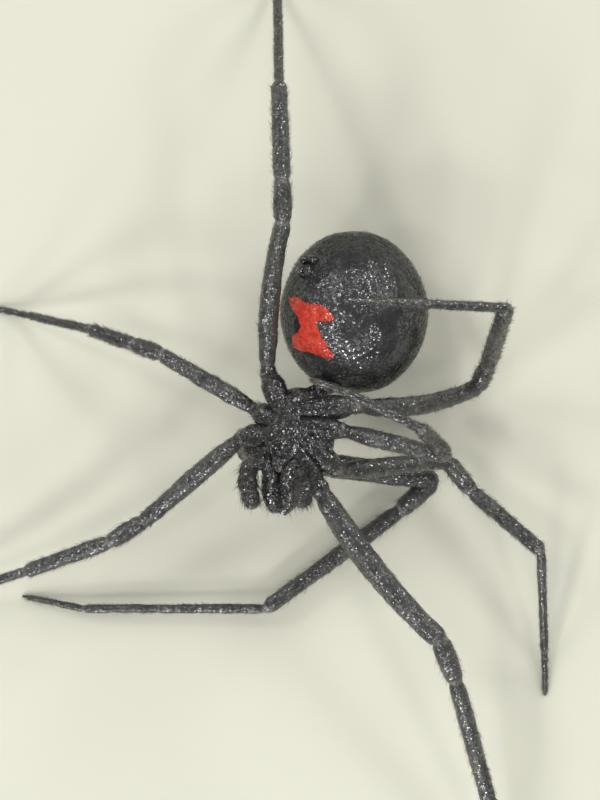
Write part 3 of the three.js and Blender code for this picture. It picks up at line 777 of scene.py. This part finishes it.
def glitter(nodes, links, shader, place, normal, scale, amount, shine, share, dull, polished):
    """Fine grain whose facets each catch the light on their own. Every cell of a pattern leans the normal in
    a direction of its own, by an amount in sizes of the normal. A share of the cells is polished and reflects
    with the whole shine, and the rest are dull and reflect with a part of it."""
    pattern = nodes.new("ShaderNodeTexVoronoi")
    pattern.inputs["Scale"].default_value = scale
    links.new(place, pattern.inputs["Vector"])
    centred = nodes.new("ShaderNodeVectorMath")
    centred.operation = "SUBTRACT"
    links.new(pattern.outputs["Color"], centred.inputs[0])
    centred.inputs[1].default_value = (0.5, 0.5, 0.5)
    scaled = nodes.new("ShaderNodeVectorMath")
    scaled.operation = "SCALE"
    links.new(centred.outputs[0], scaled.inputs[0])
    if isinstance(amount, float):
        scaled.inputs["Scale"].default_value = amount
    else:
        links.new(amount, scaled.inputs["Scale"])
    leaned = nodes.new("ShaderNodeVectorMath")
    links.new(normal, leaned.inputs[0])
    links.new(scaled.outputs[0], leaned.inputs[1])
    unit_length = nodes.new("ShaderNodeVectorMath")
    unit_length.operation = "NORMALIZE"
    links.new(leaned.outputs[0], unit_length.inputs[0])
    links.new(unit_length.outputs[0], shader.inputs["Normal"])
    chance = nodes.new("ShaderNodeTexWhiteNoise")
    links.new(pattern.outputs["Position"], chance.inputs["Vector"])
    finish = spread(nodes, links, chance.outputs["Value"], share, share + 0.15, polished, dull)
    links.new(finish, shader.inputs["Roughness"])
    gloss = spread(nodes, links, chance.outputs["Value"], share, share + 0.15, 1.0, 0.3)
    links.new(combined(nodes, links, gloss, shine, "MULTIPLY"), shader.inputs["Specular IOR Level"])


def lacquer(links, shader, normal, weight, roughness):
    """A thin glossy layer that follows only the coarse bumps, so that long soft streaks of light lie over the
    grain."""
    links.new(normal, shader.inputs["Coat Normal"])
    shader.inputs["Coat Weight"].default_value = weight
    shader.inputs["Coat Roughness"].default_value = roughness


def attribute(nodes, name):
    """A mark that the mesh carries."""
    node = nodes.new("ShaderNodeAttribute")
    node.attribute_name = name
    return node.outputs["Fac"]


def leathery_black():
    """The abdomen: near-black leathery cuticle with painted shade that darkens its sides, and a fine grain
    that glitters in patches; and the red mark with a slightly ragged edge and small pale specks, which are
    painted glints."""
    material, nodes, links, shader, place = start_material("leathery_black")
    black = blend_colours(nodes, links, mottle(nodes, links, place, 1.6, 0.35, 0.7),
                          (0.023, 0.023, 0.024), (0.05, 0.049, 0.049))
    upward = attribute(nodes, "upward")
    # Painted shade: the base colour darkens towards the sides, where the skin turns away from the top
    black = blend_colours(nodes, links, spread(nodes, links, upward, 0.1, 0.6), (0.009, 0.009, 0.01), black)
    ragged = mottle(nodes, links, place, 9.0, 0.0, 1.0, -0.09, 0.09)
    edge = combined(nodes, links, attribute(nodes, "mark"), ragged, "ADD")
    red = blend_colours(nodes, links, mottle(nodes, links, place, 5.0, 0.35, 0.65),
                        (0.4, 0.027, 0.017), (0.57, 0.058, 0.03))
    # Painted glints: small pale specks in the red mark stand in for its glossy sparkle
    painted_glints = spread(nodes, links, cells(nodes, links, place, 9.0), 0.1, 0.16, 0.5, 0.0)
    red = blend_colours(nodes, links, painted_glints, red, (0.8, 0.24, 0.12))
    colour = blend_colours(nodes, links, spread(nodes, links, edge, -0.025, 0.025), black, red)
    links.new(colour, shader.inputs["Base Color"])
    shine = spread(nodes, links, upward, 0.3, 0.75, 0.15, 0.9)
    coarse = bumps(nodes, links, noise(nodes, links, place, 4.0, 3.0, 0.5), 0.05, 0.6)
    patchy = spread(nodes, links, noise(nodes, links, place, 0.8, 3.0), 0.42, 0.58, 0.12, 1.0)
    lean = combined(nodes, links, patchy, upward, "MULTIPLY")
    glitter(nodes, links, shader, place, coarse, 16.0, lean, shine, 0.6, 0.4, 0.1)
    return material


def hard_black():
    """The front body: black cuticle with a coarse glittering grain, browner where its edges are thin."""
    material, nodes, links, shader, place = start_material("hard_black")
    black = blend_colours(nodes, links, mottle(nodes, links, place, 2.4, 0.35, 0.7),
                          (0.009, 0.009, 0.0105), (0.024, 0.023, 0.023))
    colour = blend_colours(nodes, links, spread(nodes, links, attribute(nodes, "joint"), 0.1, 1.0, 0.0, 0.8),
                           black, (0.06, 0.045, 0.035))
    links.new(colour, shader.inputs["Base Color"])
    coarse = bumps(nodes, links, noise(nodes, links, place, 5.0, 3.0, 0.5), 0.05, 0.6)
    patchy = spread(nodes, links, noise(nodes, links, place, 1.3, 3.0), 0.35, 0.6, 0.6, 1.1)
    glitter(nodes, links, shader, place, coarse, 13.0, patchy, 1.0, 0.6, 0.4, 0.09)
    lacquer(links, shader, coarse, 0.3, 0.2)
    return material


def leg_black():
    """The legs: cuticle that is black near the body and greyer further out, with a painted highlight that
    pales the joints to brown-grey.
    """
    material, nodes, links, shader, place = start_material("leg_black")
    black = blend_colours(nodes, links, mottle(nodes, links, place, 1.8, 0.35, 0.7),
                          (0.03, 0.03, 0.0295), (0.072, 0.07, 0.064))
    joint = attribute(nodes, "joint")
    # Painted highlight: pale brown-grey patches at the joints stand in for the glints that the joints catch
    patchy = combined(nodes, links, joint, mottle(nodes, links, place, 4.0, 0.3, 0.7), "MULTIPLY")
    black = blend_colours(nodes, links, attribute(nodes, "inner"), black, (0.012, 0.0115, 0.0115))
    colour = blend_colours(nodes, links, spread(nodes, links, patchy, 0.15, 0.8), black, (0.17, 0.164, 0.15))
    links.new(colour, shader.inputs["Base Color"])
    coarse = bumps(nodes, links, noise(nodes, links, place, 6.0, 3.0, 0.5), 0.04, 0.6)
    glitter(nodes, links, shader, place, coarse, 15.0, 0.55, 0.9, 0.5, 0.4, 0.09)
    lacquer(links, shader, coarse, 0.2, 0.3)
    return material


def hairy_black():
    """The palps: black-brown cuticle, paler at the tip and a little at the joints."""
    material, nodes, links, shader, place = start_material("hairy_black")
    black = blend_colours(nodes, links, mottle(nodes, links, place, 3.0, 0.35, 0.7),
                          (0.02, 0.019, 0.0185), (0.05, 0.046, 0.042))
    colour = blend_colours(nodes, links, spread(nodes, links, attribute(nodes, "joint"), 0.8, 2.0),
                           black, (0.15, 0.145, 0.13))
    links.new(colour, shader.inputs["Base Color"])
    coarse = bumps(nodes, links, cells(nodes, links, place, 13.0), 0.02, 0.5)
    glitter(nodes, links, shader, place, coarse, 15.0, 0.55, 0.8, 0.55, 0.4, 0.1)
    return material


def bristle_finish(name, dark, pale, shine):
    """The bristles: dark to paler, each patch a little different, with a shine."""
    material, nodes, links, shader, place = start_material(name)
    colour = blend_colours(nodes, links, mottle(nodes, links, place, 3.5, 0.3, 0.7), dark, pale)
    links.new(colour, shader.inputs["Base Color"])
    shader.inputs["Specular IOR Level"].default_value = shine
    links.new(mottle(nodes, links, place, 5.0, 0.3, 0.7, 0.14, 0.34), shader.inputs["Roughness"])
    return material


def polished_black():
    """The eyes: a dark wet dome with a trace of amber."""
    material, nodes, links, shader, place = start_material("polished_black")
    colour = blend_colours(nodes, links, mottle(nodes, links, place, 6.0, 0.3, 0.7),
                           (0.008, 0.007, 0.007), (0.03, 0.02, 0.012))
    links.new(colour, shader.inputs["Base Color"])
    shader.inputs["Roughness"].default_value = 0.08
    shader.inputs["Coat Weight"].default_value = 0.6
    return material


def fang_brown():
    """Fangs and claws: hard dark red-brown, polished, with faint lengthwise streaks."""
    material, nodes, links, shader, place = start_material("fang_brown")
    colour = blend_colours(nodes, links, mottle(nodes, links, place, 12.0, 0.3, 0.7),
                           (0.02, 0.007, 0.005), (0.07, 0.022, 0.012))
    links.new(colour, shader.inputs["Base Color"])
    links.new(mottle(nodes, links, place, 20.0, 0.3, 0.7, 0.16, 0.28), shader.inputs["Roughness"])
    return material


# The stage

def make_floor():
    """A plain pale surface under the spider."""
    mesh = bpy.data.meshes.new("floor")
    corners = [(x * FLOOR_REACH, y * FLOOR_REACH, 0) for x, y in ((-1, -1), (1, -1), (1, 1), (-1, 1))]
    mesh.from_pydata(corners, [], [(0, 1, 2, 3)])
    material, nodes, links, shader, place = start_material("pale_floor")
    clouds = noise(nodes, links, place, 0.02)
    colour = blend_colours(nodes, links, clouds, (0.6, 0.59, 0.485), (0.64, 0.635, 0.53))
    links.new(colour, shader.inputs["Base Color"])
    shader.inputs["Roughness"].default_value = 0.8
    mesh.materials.append(material)
    floor = bpy.data.objects.new("floor", mesh)
    bpy.context.scene.collection.objects.link(floor)


def add_light(name, azimuth, elevation, distance, size, power):
    """A square lamp that faces the spider from a direction, in metres."""
    data = bpy.data.lights.new(name, "AREA")
    data.size, data.energy = size, power
    lamp = bpy.data.objects.new(name, data)
    way = heading(azimuth, elevation)
    target = (np.array(VIEW_CENTRE) + SHIFT) * MM
    lamp.location = target + way * distance
    lamp.rotation_euler = Vector(way).to_track_quat("Z", "Y").to_euler()
    bpy.context.scene.collection.objects.link(lamp)


def light_the_scene():
    """Wide soft lamps at the sides, which leave the space above dark so that black stays black, and small
    bright ones that make the cuticle glitter."""
    world = bpy.data.worlds.new("soft_room")
    world.use_nodes = True
    world.node_tree.nodes["Background"].inputs["Color"].default_value = (0.95, 0.97, 1.0, 1)
    world.node_tree.nodes["Background"].inputs["Strength"].default_value = ROOM_LIGHT
    bpy.context.scene.world = world
    bpy.context.scene.view_settings.view_transform = "Standard"
    for number, (azimuth, elevation, power) in enumerate(SOFT_LAMPS):
        add_light(f"soft_{number}", azimuth, elevation, SOFT_DISTANCE, SOFT_SIZE, power)
    for number, (azimuth, elevation, power) in enumerate(GLITTER_LAMPS):
        add_light(f"glitter_{number}", azimuth, elevation, GLITTER_DISTANCE, GLITTER_SIZE, power)


def place_camera():
    """Straight down on the belly, the head towards the bottom of the picture, and as far off as gives the
    photo's number of pixels to a millimetre at the height of the front body."""
    data = bpy.data.cameras.new("photo_view")
    data.type, data.lens, data.sensor_width = "PERSP", LENS, SENSOR
    data.clip_start, data.clip_end = 0.01, 10
    camera = bpy.data.objects.new("photo_view", data)
    distance = PHOTO_HEIGHT / PIXELS_PER_MM * LENS / SENSOR
    camera.location = (np.array(VIEW_CENTRE) + SHIFT + distance * UP) * MM
    bpy.context.scene.collection.objects.link(camera)
    bpy.context.scene.camera = camera


place_camera()
light_the_scene()
make_floor()

bristles = bristle_finish("limb_bristles", (0.015, 0.014, 0.013), (0.11, 0.105, 0.092), 0.8)
short_bristles = bristle_finish("short_bristles", (0.008, 0.008, 0.008), (0.02, 0.019, 0.018), 0.2)
make_abdomen(leathery_black(), short_bristles)
front_skin = hard_black()
make_spinnerets(front_skin, bristles)
make_front_body(front_skin, bristles)
make_eyes(polished_black())
fang_finish = fang_brown()
make_jaws(front_skin, fang_finish, bristles)
make_palps(hairy_black(), bristles)
make_legs(leg_black(), fang_finish, bristles)
